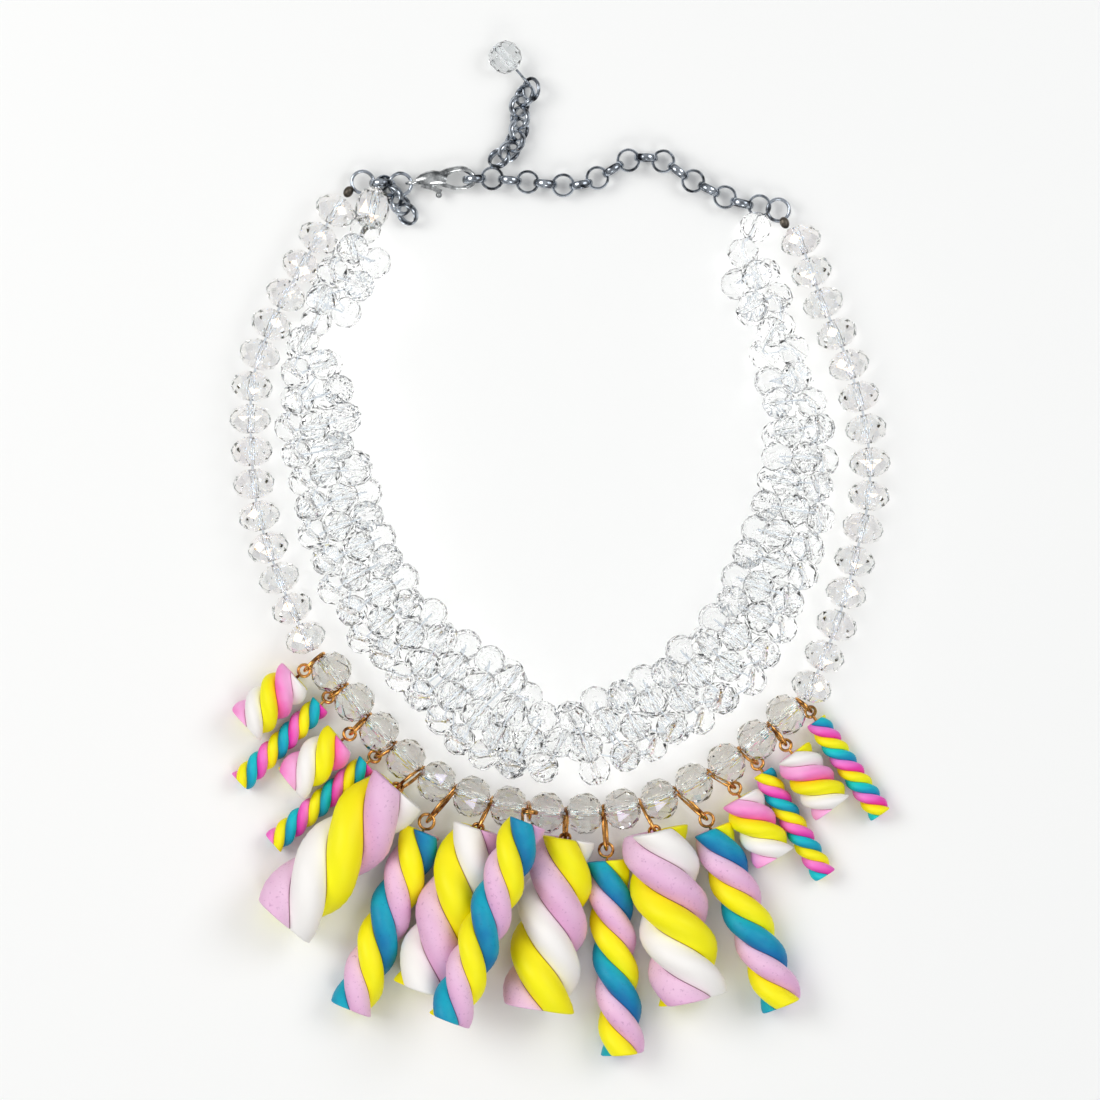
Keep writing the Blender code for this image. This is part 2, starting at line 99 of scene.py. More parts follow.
sweep_white, _, sweep_shader = new_material("white sweep")
sweep_shader.inputs["Base Color"].default_value = SWEEP_COLOUR
sweep_shader.inputs["Roughness"].default_value = 0.7
sweep_shader.inputs["Specular IOR Level"].default_value = 0.1
sweep_mesh = bpy.data.meshes.new("sweep")
sweep_shape = bmesh.new()
bmesh.ops.create_grid(sweep_shape, x_segments=1, y_segments=1, size=SWEEP_REACH)
sweep_shape.to_mesh(sweep_mesh)
sweep_shape.free()
sweep_mesh.materials.append(sweep_white)
sweep = bpy.data.objects.new("sweep", sweep_mesh)
sweep.location.z = -SWEEP_GAP
bpy.context.scene.collection.objects.link(sweep)

for name, (spot, width, watts, colour) in SOFT_BOXES.items():
    lamp = bpy.data.lights.new(name, "AREA")
    lamp.shape = "DISK"
    lamp.size = width
    lamp.energy = watts
    lamp.color = colour
    light = bpy.data.objects.new(name, lamp)
    light.location = spot
    light.rotation_euler = (-Vector(spot)).to_track_quat("-Z", "Y").to_euler()
    bpy.context.scene.collection.objects.link(light)

world = bpy.data.worlds.new("pale ceiling")
world.use_nodes = True
bpy.context.scene.world = world
sky = world.node_tree.nodes
sky_links = world.node_tree.links
sky_way = sky.new("ShaderNodeTexCoord")
sky_height = sky.new("ShaderNodeSeparateXYZ")
sky_ramp = sky.new("ShaderNodeValToRGB")
for stop, (upward, colour) in zip(sky_ramp.color_ramp.elements, (CEILING_RIM, CEILING_TOP)):
    stop.position = upward
    stop.color = colour
sky_links.new(sky_way.outputs["Generated"], sky_height.inputs[0])
sky_links.new(sky_height.outputs["Z"], sky_ramp.inputs["Fac"])
sky_links.new(sky_ramp.outputs["Color"], sky["Background"].inputs["Color"])
sky["Background"].inputs["Strength"].default_value = CEILING_STRENGTH
backdrop = sky.new("ShaderNodeBackground")
backdrop.inputs["Color"].default_value = BACKDROP_COLOUR
sky_path = sky.new("ShaderNodeLightPath")
sky_mix = sky.new("ShaderNodeMixShader")
sky_links.new(sky_path.outputs["Is Camera Ray"], sky_mix.inputs["Fac"])
sky_links.new(sky["Background"].outputs["Background"], sky_mix.inputs[1])
sky_links.new(backdrop.outputs["Background"], sky_mix.inputs[2])
sky_links.new(sky_mix.outputs["Shader"], sky["World Output"].inputs["Surface"])
bpy.context.scene.view_settings.view_transform = "Standard"

# The front strand is fifteen round cut beads of pressed glass on nylon line. Each has two
# rows of facets above its belt and two below, and a drilled hole that the line runs
# through. A warm lustre coat gives these beads their champagne tint.
FRONT_ROUTE = [
    (331, 672), (377, 730), (433, 780), (508, 807), (584, 814), (662, 799), (729, 762), (786, 715),
]
FRONT_BEADS = 15
FRONT_BEAD_RADIUS = 5.35 * MM
FRONT_BEAD_HALF_LENGTH = 4.4 * MM
# How far each bead is turned on the line from the one before it, in radians.
FRONT_SPIN = 0.7
STRAND_HEIGHT = 5.2 * MM
HOLE_RADIUS = 0.75 * MM
CUT_SIDES = 10
# The rows of corners of a bead, as shares of its half length and of its radius.
ROUND_CUT = [(1.0, 0.34), (0.80, 0.70), (0.34, 0.97), (-0.34, 0.97), (-0.80, 0.70), (-1.0, 0.34)]
# A path's direction is taken from one part of its length before a place to one part after it.
PATH_PARTS = 400
TINY = 1e-6
# The lustre's tints drift in clouds, so many to a metre, between these levels of their noise.
LUSTRE_SCALE = 160
LUSTRE_RANGE = (0.35, 0.65)


def smooth_path(points, steps=24):
    """A Catmull-Rom curve through the points, as its own points and the distance at each."""
    points = np.array(points, float)
    ends = np.vstack([2 * points[0] - points[1], points, 2 * points[-1] - points[-2]])
    t = np.linspace(0, 1, steps, endpoint=False)[:, None]
    rows = []
    for a, b, c, d in zip(ends, ends[1:], ends[2:], ends[3:]):
        bend = (2 * a - 5 * b + 4 * c - d) * t**2 + (3 * b - a - 3 * c + d) * t**3
        rows.append(0.5 * (2 * b + (c - a) * t + bend))
    rows = np.vstack([*rows, points[-1:]])
    marks = np.concatenate([[0], np.cumsum(np.linalg.norm(np.diff(rows, axis=0), axis=1))])
    return rows, marks


def at(path, distance):
    """The point at a distance along a path, and the direction there."""
    rows, marks = path
    step = marks[-1] / PATH_PARTS
    behind, here, ahead = [
        np.array([np.interp(distance + shift, marks, column) for column in rows.T])
        for shift in (-step, 0, step)
    ]
    heading = ahead - behind
    return here, heading / np.linalg.norm(heading)


def unit(vector):
    """The vector at a length of one."""
    return vector / np.linalg.norm(vector)


def square_to(direction):
    """The level direction across a piece, and the one that is up and square to it."""
    across = np.cross(direction, [0, 0, 1])
    if np.linalg.norm(across) < TINY:
        across = np.array([1.0, 0.0, 0.0])
    across = unit(across)
    return across, unit(np.cross(across, direction))


def cut_bead(radius, half_length, cut, sides):
    """A bead along Z from rows of corners a half step apart, with its hole, as points and faces."""
    rows = [(1.0, HOLE_RADIUS, 0.0)]
    rows += [(height, share * radius, 0.5 * (number % 2)) for number, (height, share) in enumerate(cut)]
    rows.append((-1.0, HOLE_RADIUS, 0.5 * ((len(cut) - 1) % 2)))
    points = []
    for height, reach, phase in rows:
        for side in range(sides):
            angle = 2 * math.pi * (side + phase) / sides
            points.append((reach * math.cos(angle), reach * math.sin(angle), height * half_length))
    faces = []
    for row, (_, _, phase) in enumerate(rows):
        below = (row + 1) % len(rows)
        turned = rows[below][2] - phase
        for side in range(sides):
            upper, upper_next = row * sides + side, row * sides + (side + 1) % sides
            lower, lower_next = below * sides + side, below * sides + (side + 1) % sides
            if turned > 0:
                faces += [(upper, lower, upper_next), (upper_next, lower, lower_next)]
            elif turned < 0:
                faces += [(upper, lower, lower_next), (upper, lower_next, upper_next)]
            else:
                faces += [(upper, lower, lower_next, upper_next)]
    return np.array(points), faces


def tube(points, radii, sides=10, closed=False):
    """A round wire along a line of points, as points and faces. An open one has flat ends."""
    points = np.array(points, float)
    count = len(points)
    radii = np.broadcast_to(radii, count)
    if closed:
        ways = np.roll(points, -1, axis=0) - np.roll(points, 1, axis=0)
    else:
        ways = np.gradient(points, axis=0)
    ways /= np.linalg.norm(ways, axis=1)[:, None]
    side = square_to(ways[0])[0]
    rings = []
    for point, way, radius in zip(points, ways, radii):
        side = unit(side - way * side.dot(way))
        other = np.cross(way, side)
        angles = 2 * np.pi * np.arange(sides) / sides
        rings.append(point + radius * (np.cos(angles)[:, None] * side + np.sin(angles)[:, None] * other))
    faces = []
    for row in range(count if closed else count - 1):
        below = (row + 1) % count
        for i in range(sides):
            j = (i + 1) % sides
            faces.append((row * sides + i, row * sides + j, below * sides + j, below * sides + i))
    if not closed:
        faces.append(tuple(range(sides))[::-1])
        faces.append(tuple(range((count - 1) * sides, count * sides)))
    return np.vstack(rings), faces


class Heap:
    """Shapes gathered into one mesh."""

    def __init__(self):
        self.points, self.faces, self.count = [], [], 0

    def add(self, shape):
        points, faces = shape
        self.points.append(points)
        self.faces += [tuple(corner + self.count for corner in face) for face in faces]
        self.count += len(points)

    def add_bead(self, bead, middle, direction, spin):
        """A bead whose hole lies along a direction, turned about it by the spin."""
        across, up = square_to(direction)
        first = math.cos(spin) * across + math.sin(spin) * up
        second = np.cross(direction, first)
        self.add((middle + bead[0] @ np.array([first, second, direction]), bead[1]))


def add_piece(name, heap, materials, nodes, sharp=None):
    """A mesh piece on the body, in place of the CAD nodes that it stands for. It has flat facets, or
    smooth faces whose edges stay sharp from an angle in degrees.
    """
    mesh = bpy.data.meshes.new(name)
    mesh.from_pydata(np.vstack(heap.points).tolist(), [], heap.faces)
    for finish in materials:
        mesh.materials.append(finish)
    if sharp is not None:
        mesh.shade_smooth()
        mesh.set_sharp_from_angle(angle=math.radians(sharp))
    piece = bpy.data.objects.new(name, mesh)
    bpy.context.scene.collection.objects.link(piece)
    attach(piece, "root")
    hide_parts(*nodes)
    return piece


def new_group(name, takes, gives):
    """A shader node group with its sockets, as the group, its nodes, its links and its two ends."""
    group = bpy.data.node_groups.new(name, "ShaderNodeTree")
    for way, sockets in (("INPUT", takes), ("OUTPUT", gives)):
        for label, kind in sockets.items():
            group.interface.new_socket(label, in_out=way, socket_type="NodeSocket" + kind)
    nodes = group.nodes
    return group, nodes, group.links, nodes.new("NodeGroupInput"), nodes.new("NodeGroupOutput")


def in_range(nodes, links, value, low_and_high):
    """A node that maps a value to a share of the way from low to high."""
    share = nodes.new("ShaderNodeMapRange")
    share.inputs["From Min"].default_value, share.inputs["From Max"].default_value = low_and_high
    links.new(value, share.inputs["Value"])
    return share


def mixed(nodes, links, share, first, second):
    """The colour that a share of the way from one colour to another gives."""
    mix = nodes.new("ShaderNodeMix")
    mix.data_type = "RGBA"
    links.new(share, mix.inputs["Factor"])
    links.new(first, mix.inputs["A"])
    links.new(second, mix.inputs["B"])
    return mix.outputs["Result"]


def lustre_group():
    """Cloudy tints that drift over cut glass: gives the colour of the coat at each place."""
    takes = {"First Tint": "Color", "Second Tint": "Color", "Scale": "Float"}
    group, nodes, links, inputs, outputs = new_group("lustre", takes, {"Color": "Color"})
    where = nodes.new("ShaderNodeTexCoord")
    clouds = nodes.new("ShaderNodeTexNoise")
    clouds.inputs["Detail"].default_value = 1.0
    links.new(where.outputs["Object"], clouds.inputs["Vector"])
    links.new(inputs.outputs["Scale"], clouds.inputs["Scale"])
    spread = in_range(nodes, links, clouds.outputs["Fac"], LUSTRE_RANGE).outputs["Result"]
    tints = inputs.outputs["First Tint"], inputs.outputs["Second Tint"]
    links.new(mixed(nodes, links, spread, *tints), outputs.inputs["Color"])
    return group


LUSTRE = lustre_group()


def cut_glass(name, first_tint, second_tint, ior, film_nm, coat, lamp_share):
    """Cut glass, with its lustre coat if it has one, that lets a share of the lamps' light through."""
    made, tree, shader = new_material(name)
    nodes, links = tree.nodes, tree.links
    lustre = nodes.new("ShaderNodeGroup")
    lustre.node_tree = LUSTRE
    lustre.inputs["First Tint"].default_value = (*first_tint, 1)
    lustre.inputs["Second Tint"].default_value = (*second_tint, 1)
    lustre.inputs["Scale"].default_value = LUSTRE_SCALE
    links.new(lustre.outputs["Color"], shader.inputs["Base Color"])
    shader.inputs["Roughness"].default_value = 0.0
    shader.inputs["IOR"].default_value = ior
    shader.inputs["Transmission Weight"].default_value = 1.0
    shader.inputs["Thin Film Thickness"].default_value = film_nm
    shader.inputs["Coat Weight"].default_value = coat
    shader.inputs["Coat IOR"].default_value = 1.8
    path = nodes.new("ShaderNodeLightPath")
    share = nodes.new("ShaderNodeMath")
    share.operation = "MULTIPLY"
    share.inputs[1].default_value = lamp_share
    clear = nodes.new("ShaderNodeBsdfTransparent")
    mix = nodes.new("ShaderNodeMixShader")
    links.new(path.outputs["Is Shadow Ray"], share.inputs[0])
    links.new(share.outputs["Value"], mix.inputs["Fac"])
    links.new(shader.outputs["BSDF"], mix.inputs[1])
    links.new(clear.outputs["BSDF"], mix.inputs[2])
    links.new(mix.outputs["Shader"], nodes["Material Output"].inputs["Surface"])
    return made


champagne_glass = cut_glass(
    "champagne lustre glass", first_tint=(1.0, 0.99, 0.945), second_tint=(0.965, 0.935, 0.91),
    ior=1.74, film_nm=320, coat=1.0, lamp_share=0.7,
)
front_path = smooth_path([place(pixel, STRAND_HEIGHT) for pixel in FRONT_ROUTE])
front_bead = cut_bead(FRONT_BEAD_RADIUS, FRONT_BEAD_HALF_LENGTH, ROUND_CUT, CUT_SIDES)
front = Heap()
for number in range(FRONT_BEADS):
    spot, heading = at(front_path, number * front_path[1][-1] / (FRONT_BEADS - 1))
    front.add_bead(front_bead, spot, heading, FRONT_SPIN * number)
add_piece("front_cut_beads", front, [champagne_glass], ["front_beads"])

# Each side strand is fifteen glass beads of a flatter cut, packed end to end, so that their
# belts stand out like the teeth of a comb. They run from the shell behind the neck to the
# front strand on a nylon line of their own. The front strand's line is made here too.
LEFT_ROUTE = [
    (335, 210), (303, 263), (272, 322), (252, 382), (251, 448), (258, 513), (279, 579), (305, 638),
]
RIGHT_ROUTE = [
    (801, 240), (822, 299), (847, 358), (866, 425), (870, 490), (856, 557), (838, 622), (812, 687),
]
RONDELLES = 15
RONDELLE_RADIUS = 5.25 * MM
RONDELLE_HALF_LENGTH = 3.65 * MM
RONDELLE_SPIN = 0.45
LINE_RADIUS = 0.3 * MM
LINE_STRIDE = 4
FLAT_CUT = [(1.0, 0.44), (0.60, 0.86), (0.16, 1.0), (-0.16, 1.0), (-0.60, 0.86), (-1.0, 0.44)]


def add_line(name, points, radius, sides):
    """A nylon line along a row of points, inside the beads that are strung on it."""
    line = Heap()
    line.add(tube(points, radius, sides))
    add_piece(name, line, [nylon], [], sharp=30)


nylon, _, nylon_shader = new_material("nylon line")
nylon_shader.inputs["Base Color"].default_value = (0.80, 0.85, 0.91, 1)
nylon_shader.inputs["Roughness"].default_value = 0.15
nylon_shader.inputs["IOR"].default_value = 1.45
nylon_shader.inputs["Transmission Weight"].default_value = 0.3
rondelle_glass = cut_glass(
    "pale lustre glass", first_tint=(0.965, 0.985, 0.985), second_tint=(0.99, 0.97, 0.975),
    ior=1.70, film_nm=260, coat=1.0, lamp_share=0.8,
)
rondelle = cut_bead(RONDELLE_RADIUS, RONDELLE_HALF_LENGTH, FLAT_CUT, CUT_SIDES)
rondelle_spots = {}
for side, route in (("left", LEFT_ROUTE), ("right", RIGHT_ROUTE)):
    side_path = smooth_path([place(pixel, RONDELLE_RADIUS) for pixel in route])
    strand = Heap()
    spots = [at(side_path, number * side_path[1][-1] / (RONDELLES - 1)) for number in range(RONDELLES)]
    rondelle_spots[side] = np.array([spot for spot, _ in spots])
    for number, (spot, heading) in enumerate(spots):
        strand.add_bead(rondelle, spot, heading, RONDELLE_SPIN * number)
    add_piece(f"{side}_cut_rondelles", strand, [rondelle_glass], [f"{side}_rondelles"])
    add_line(f"{side}_nylon_line", side_path[0][::LINE_STRIDE], LINE_RADIUS, sides=6)
add_line("front_nylon_line", front_path[0][::LINE_STRIDE], LINE_RADIUS, sides=6)

# The inner rope is woven from small clear cut beads on one long nylon line that winds round
# and round, so they lie in rings with a hollow between them. It starts at the left with one
# larger bead, is slim at both ends and lumpy on the way, and its two halves meet in front.
FIRST_BEAD = (372, 207)
FIRST_BEAD_RADIUS = 4.5 * MM
FIRST_BEAD_HALF_LENGTH = 5.2 * MM
FIRST_BEAD_HEIGHT = 1.02 * FIRST_BEAD_RADIUS
FIRST_BEAD_SPIN = 0.2
# The third number at each place on a route is the rope's half width there, in pixels.
LEFT_ROPE = [
    (366, 236, 20), (361, 250, 26), (355, 266, 31), (337, 297, 29), (318, 326, 22), (312, 352, 24),
    (314, 382, 31), (318, 408, 38), (319, 434, 41), (325, 462, 38), (335, 486, 41), (344, 530, 43),
    (363, 575, 45), (393, 622, 46), (445, 672, 46), (478, 701, 53), (503, 724, 48), (529, 740, 38),
    (545, 747, 32),
]
RIGHT_ROPE = [
    (588, 741, 42), (606, 736, 47), (630, 721, 45), (664, 703, 42), (704, 677, 47), (736, 645, 45),
    (760, 600, 43), (780, 550, 41), (794, 505, 39), (800, 455, 35), (792, 405, 31), (781, 360, 27),
    (769, 318, 27), (753, 283, 28), (746, 254, 22), (753, 229, 16),
]
ROPE_BEAD_RADIUS = 4.0 * MM
ROPE_BEAD_HALF_LENGTH = 3.55 * MM
ROPE_BEAD_SPIN = 1.3
# From ring to ring, from the floor beads to the rope's middle, and from bead to bead in a ring.
ROPE_STEP = 6.6 * MM
ROPE_RISE = 4.2 * MM
ROPE_ROUND = 7.0 * MM
ROPE_TOP = ROPE_BEAD_RADIUS + 2 * ROPE_RISE
# How far a bead may stray before it settles, round its ring in radians and in millimetres.
STRAY_ROUND = 0.25
STRAY_MM = 0.8
# How far it may then lie outside the rope's edge, and how near to a side bead's middle.
ROPE_SLACK = 1.0 * MM
RONDELLE_ROOM = 8.4 * MM
# The beads settle in this many turns. A turn undoes a share of what they lie in each other,
# a share of how far they are from home, and a share of what they lie in a side bead.
SETTLE_TURNS = 80
APART_SHARE = 0.3
HOME_SHARE = 0.02
RONDELLE_SHARE = 0.5
LEFT_SEED, RIGHT_SEED = 4, 9
WEAVING_LINE_RADIUS = 0.7 * LINE_RADIUS
SMALL_CUT = [(1.0, 0.42), (0.62, 0.84), (0.14, 1.0), (-0.14, 1.0), (-0.62, 0.84), (-1.0, 0.42)]


def rope_middles(route, seed):
    """Where the rope's beads lie, in the order in which the line runs through them."""
    draw = np.random.default_rng(seed)
    path = smooth_path([(*place((u, v))[:2], half * PIXEL) for u, v, half in route])
    steps = round(path[1][-1] / ROPE_STEP)
    middles, limits = [], []
    for step in range(steps + 1):
        (x, y, half), heading = at(path, path[1][-1] * step / steps)
        spread = max(half - ROPE_BEAD_RADIUS, 0.0)
        rise = min(spread, ROPE_RISE)
        across, _ = square_to(unit(np.array([heading[0], heading[1], 0.0])))
        round_length = math.pi * (spread + rise)
        beads = max(1, round(round_length / ROPE_ROUND))
        for bead in range(beads):
            angle = 2 * math.pi * (bead + 0.5 * (step % 2)) / beads
            angle += draw.uniform(-STRAY_ROUND, STRAY_ROUND)
            if beads == 1:
                angle = math.pi * (step % 2)
            shift = draw.uniform(-STRAY_MM, STRAY_MM, 3) * MM
            middle = np.array([x, y, ROPE_BEAD_RADIUS + rise])
            middle += spread * math.cos(angle) * across + rise * math.sin(angle) * np.array([0, 0, 1])
            middles.append(middle + shift)
            limits.append((x, y, spread))
    return np.array(middles), np.array(limits)


def settle(middles, limits, rondelles):
    """Pushes beads apart that lie in each other or in the side strand, inside the rope's own space."""
    homes = middles.copy()
    for _ in range(SETTLE_TURNS):
        gaps = middles[:, None] - middles[None]
        far = np.linalg.norm(gaps, axis=2) + np.eye(len(middles))
        push = np.clip(2 * ROPE_BEAD_RADIUS - far, 0, None) * (1 - np.eye(len(middles)))
        middles = middles + APART_SHARE * (gaps / far[..., None] * push[..., None]).sum(axis=1)
        middles += HOME_SHARE * (homes - middles)
        gaps = middles[:, None] - rondelles[None]
        far = np.linalg.norm(gaps, axis=2)
        push = np.clip(RONDELLE_ROOM - far, 0, None)
        middles += RONDELLE_SHARE * (gaps / far[..., None] * push[..., None]).sum(axis=1)
        middles[:, 2] = np.clip(middles[:, 2], ROPE_BEAD_RADIUS, ROPE_TOP)
        out = middles[:, :2] - limits[:, :2]
        reach = np.linalg.norm(out, axis=1)
        allowed = limits[:, 2] + ROPE_SLACK
        middles[:, :2] = limits[:, :2] + out * np.minimum(1, allowed / np.maximum(reach, TINY))[:, None]
    return middles


clear_glass = cut_glass(
    "clear cut glass", first_tint=(0.995, 1.0, 1.0), second_tint=(1.0, 1.0, 1.0),
    ior=1.31, film_nm=0, coat=0.0, lamp_share=0.95,
)
first_bead = Heap()
first_cut = cut_bead(FIRST_BEAD_RADIUS, FIRST_BEAD_HALF_LENGTH, ROUND_CUT, CUT_SIDES)
first_way = unit(place(LEFT_ROPE[0][:2]) - place(FIRST_BEAD))
first_bead.add_bead(first_cut, place(FIRST_BEAD, FIRST_BEAD_HEIGHT), first_way, FIRST_BEAD_SPIN)
add_piece("left_first_bead", first_bead, [rondelle_glass], [])
rope_bead = cut_bead(ROPE_BEAD_RADIUS, ROPE_BEAD_HALF_LENGTH, SMALL_CUT, sides=8)
for side, route, seed in (("left", LEFT_ROPE, LEFT_SEED), ("right", RIGHT_ROPE, RIGHT_SEED)):
    middles = settle(*rope_middles(route, seed), rondelle_spots[side])
    rope = Heap()
    for number, middle in enumerate(middles):
        before, after = middles[max(number - 1, 0)], middles[min(number + 1, len(middles) - 1)]
        rope.add_bead(rope_bead, middle, unit(after - before), ROPE_BEAD_SPIN * number)
    add_piece(f"{side}_woven_beads", rope, [clear_glass], [f"bead_rope_{side}"])
    add_line(f"{side}_weaving_line", smooth_path(middles, steps=6)[0], WEAVING_LINE_RADIUS, sides=5)

# Each charm is three rolls of polymer clay laid together, twisted and baked, then cut off at
# both ends. The thick charms are mallow shapes in pale colours and the thin ones are candy
# sticks. Painted shade darkens the fine creases where the rolls meet, and the rolls keep soft
# dents from the fingers.
# Where a roll's middle lies and its radius, as shares of the twist's radius.
LOBE_OFFSET = 0.40
LOBE_RADIUS = 0.60
STRANDS = 3
# The eye end is narrowed to this share of the radius. It widens to the whole of it over a
# part of the length that is this many times the share it lacks.
END_TAPER = 0.93
TAPER_REACH = 3
# The cut edge at each end is rounded over this length, in this many rows, by this share.
EDGE_ROUND = 0.5 * MM
EDGE_ROWS = 4
EDGE_SHARE = 0.07
# A hollow eye end: its rim, the step inside the rim and its floor, as shares of the end.
HOLLOW_RIM = 0.55
HOLLOW_STEP = 0.03
HOLLOW_FLOOR = 0.30
HOLLOW_DEPTH = 3.6 * MM
COLUMNS = 14
# Columns of points are drawn toward the creases by this share of a third.
COLUMN_DRAW = 0.09
ROW_STEP = 0.5 * MM
CREASE_DEPTH = 0.035
CREASE_WIDTH = 0.09
# Hand-made unevenness: its share of the radius, how many waves add up, and the radians a
# metre that their rates are multiples of.
UNEVEN_SHARE = 0.007
WAVES = 4
WAVE_RATE = 130
# The radii of the four sizes, and how high the two ends lie of the one that lies on others.
FAT_LARGE, THIN_LARGE, FAT_SMALL, THIN_SMALL = 9.3 * MM, 5.7 * MM, 5.6 * MM, 3.1 * MM
LIFTED = (14.0 * MM, 15.8 * MM)
# How fine the clay's drift of colour, its grain and its dents are, in cells a metre. The
# drift adds a share of its noise to the place across a roll, and the sum goes from one colour
# to the other over a range.
DRIFT_SCALE = 180
DRIFT_SHARE = 0.5
DRIFT_RANGE = (0.35, 1.15)
GRAIN_SCALE = 1300
DENT_SCALE = 260
# Grain turns into a speck between these levels. The painted shade along each crease is a share
# of a roll's width wide, and at the crease it goes this share of the way to its dark colour.
SPECK_RANGE = (0.60, 0.72)
CREASE_SHADE_WIDTH = 0.055
CREASE_SHADE_DARKNESS = 0.85

# Radius, eye end, far end, pixels to the first crease and between creases, and the colours
# of the three rolls in the order they come to the top from the eye end. Then, where it
# isn't plain: a hollow eye end and its neck, or the lift of the one that lies on the others.
CHARMS = [
    (FAT_SMALL, (296, 678), (245, 725), 6, 20.5, "milk candy lemon"),
    (THIN_SMALL, (320, 705), (239, 783), 1, 14.5, "berry aqua lemon"),
    (FAT_SMALL, (341, 741), (289, 783), 7.6, 25, "candy lemon milk"),
    (THIN_SMALL, (366, 764), (272, 844), 15, 15.3, "aqua lemon berry"),
    (FAT_LARGE, (397, 788), (281, 919), -6, 55.5, "milk lilac lemon", True, 0.9),
    (THIN_LARGE, (422.5, 832), (351, 1010), 13, 36, "teal lemon lilac"),
    (FAT_LARGE, (478, 828), (426, 991), 46, 50, "milk lemon lilac", True, 0.76),
    (THIN_LARGE, (526, 820), (449, 1017), 26, 34.2, "teal lemon lilac", False, END_TAPER, LIFTED),
    (FAT_LARGE, (565, 838), (537.5, 1008), 32, 45, "lemon lilac milk", True, 0.8),
    (THIN_LARGE, (607, 861), (623, 1055), 2, 34.5, "lemon teal lilac"),
    (FAT_LARGE, (654.5, 831), (691.5, 1000), 25.5, 43, "milk lilac lemon", True, 0.93),
    (THIN_LARGE, (711, 830), (784, 1006), 28.5, 34.4, "teal lilac lemon"),
    (FAT_SMALL, (740.5, 798), (775.5, 859), 2, 22.3, "milk candy lemon"),
    (THIN_SMALL, (763.5, 773), (825.5, 877), 1, 14.6, "aqua lemon berry"),
    (FAT_SMALL, (792.5, 754), (833.5, 808), 15, 17.9, "milk candy lemon"),
    (THIN_SMALL, (817, 721), (882, 815), 7, 13.6, "aqua berry lemon"),
]


def clay_group():
    """Hand-rolled clay: a colour that drifts across a roll, faint specks, painted shade along the creases,
    and dents.
    """
    takes = dict.fromkeys(("Near Color", "Far Color", "Crease Shade Color", "Speck Color"), "Color")
    takes["Specks"] = "Float"
    gives = {"Color": "Color", "Height": "Float"}
    group, nodes, links, inputs, outputs = new_group("hand-rolled clay", takes, gives)
    where = nodes.new("ShaderNodeTexCoord")
    apart = nodes.new("ShaderNodeSeparateXYZ")
    links.new(where.outputs["UV"], apart.inputs[0])

    drift = nodes.new("ShaderNodeTexNoise")
    drift.inputs["Scale"].default_value = DRIFT_SCALE
    links.new(where.outputs["Object"], drift.inputs["Vector"])
    wander = nodes.new("ShaderNodeMath")
    wander.operation = "MULTIPLY_ADD"
    wander.inputs[1].default_value = DRIFT_SHARE
    links.new(drift.outputs["Fac"], wander.inputs[0])
    links.new(apart.outputs["X"], wander.inputs[2])
    blend = in_range(nodes, links, wander.outputs["Value"], DRIFT_RANGE)
    blend.interpolation_type = "SMOOTHSTEP"
    edges = inputs.outputs["Near Color"], inputs.outputs["Far Color"]
    body = mixed(nodes, links, blend.outputs["Result"], *edges)

    grain = nodes.new("ShaderNodeTexNoise")
    grain.inputs["Scale"].default_value = GRAIN_SCALE
    grain.inputs["Detail"].default_value = 3.0
    links.new(where.outputs["Object"], grain.inputs["Vector"])
    speck = in_range(nodes, links, grain.outputs["Fac"], SPECK_RANGE)
    speck_share = nodes.new("ShaderNodeMath")
    speck_share.operation = "MULTIPLY"
    links.new(speck.outputs["Result"], speck_share.inputs[0])
    links.new(inputs.outputs["Specks"], speck_share.inputs[1])
    speckled = mixed(nodes, links, speck_share.outputs["Value"], body, inputs.outputs["Speck Color"])

    # Painted shade: the colour darkens toward each crease between the rolls, where shade falls.
    from_shaded_crease = nodes.new("ShaderNodeMath")
    from_shaded_crease.operation = "PINGPONG"
    from_shaded_crease.inputs[1].default_value = 0.5
    links.new(apart.outputs["X"], from_shaded_crease.inputs[0])
    crease_shade = in_range(nodes, links, from_shaded_crease.outputs["Value"], (0.0, CREASE_SHADE_WIDTH))
    crease_shade.interpolation_type = "SMOOTHSTEP"
    crease_shade.inputs["To Min"].default_value = CREASE_SHADE_DARKNESS
    crease_shade.inputs["To Max"].default_value = 0.0
    crease_shaded = mixed(nodes, links, crease_shade.outputs["Result"], speckled, inputs.outputs["Crease Shade Color"])
    links.new(crease_shaded, outputs.inputs["Color"])

    dents = nodes.new("ShaderNodeTexNoise")
    dents.inputs["Scale"].default_value = DENT_SCALE
    dents.inputs["Detail"].default_value = 5.0
    links.new(where.outputs["Object"], dents.inputs["Vector"])
    links.new(dents.outputs["Fac"], outputs.inputs["Height"])
    return group


CLAY = clay_group()


def clay(name, near, far, crease_shade, specks=0.0, speck_colour=(160, 90, 150)):
    """Baked clay of one roll, with the colour at either edge of the roll and the painted shade in its
    creases.
    """
    made, tree, shader = new_material(name)
    nodes, links = tree.nodes, tree.links
    rolled = nodes.new("ShaderNodeGroup")
    rolled.node_tree = CLAY
    rolled.inputs["Near Color"].default_value = linear(*near)
    rolled.inputs["Far Color"].default_value = linear(*far)
    rolled.inputs["Crease Shade Color"].default_value = linear(*crease_shade)
    rolled.inputs["Speck Color"].default_value = linear(*speck_colour)
    rolled.inputs["Specks"].default_value = specks
    links.new(rolled.outputs["Color"], shader.inputs["Base Color"])
    bump = nodes.new("ShaderNodeBump")
    bump.inputs["Strength"].default_value = 0.28
    bump.inputs["Distance"].default_value = 0.4 * MM
    links.new(rolled.outputs["Height"], bump.inputs["Height"])
    links.new(bump.outputs["Normal"], shader.inputs["Normal"])
    shader.inputs["Roughness"].default_value = 0.52
    shader.inputs["Specular IOR Level"].default_value = 0.35
    return made
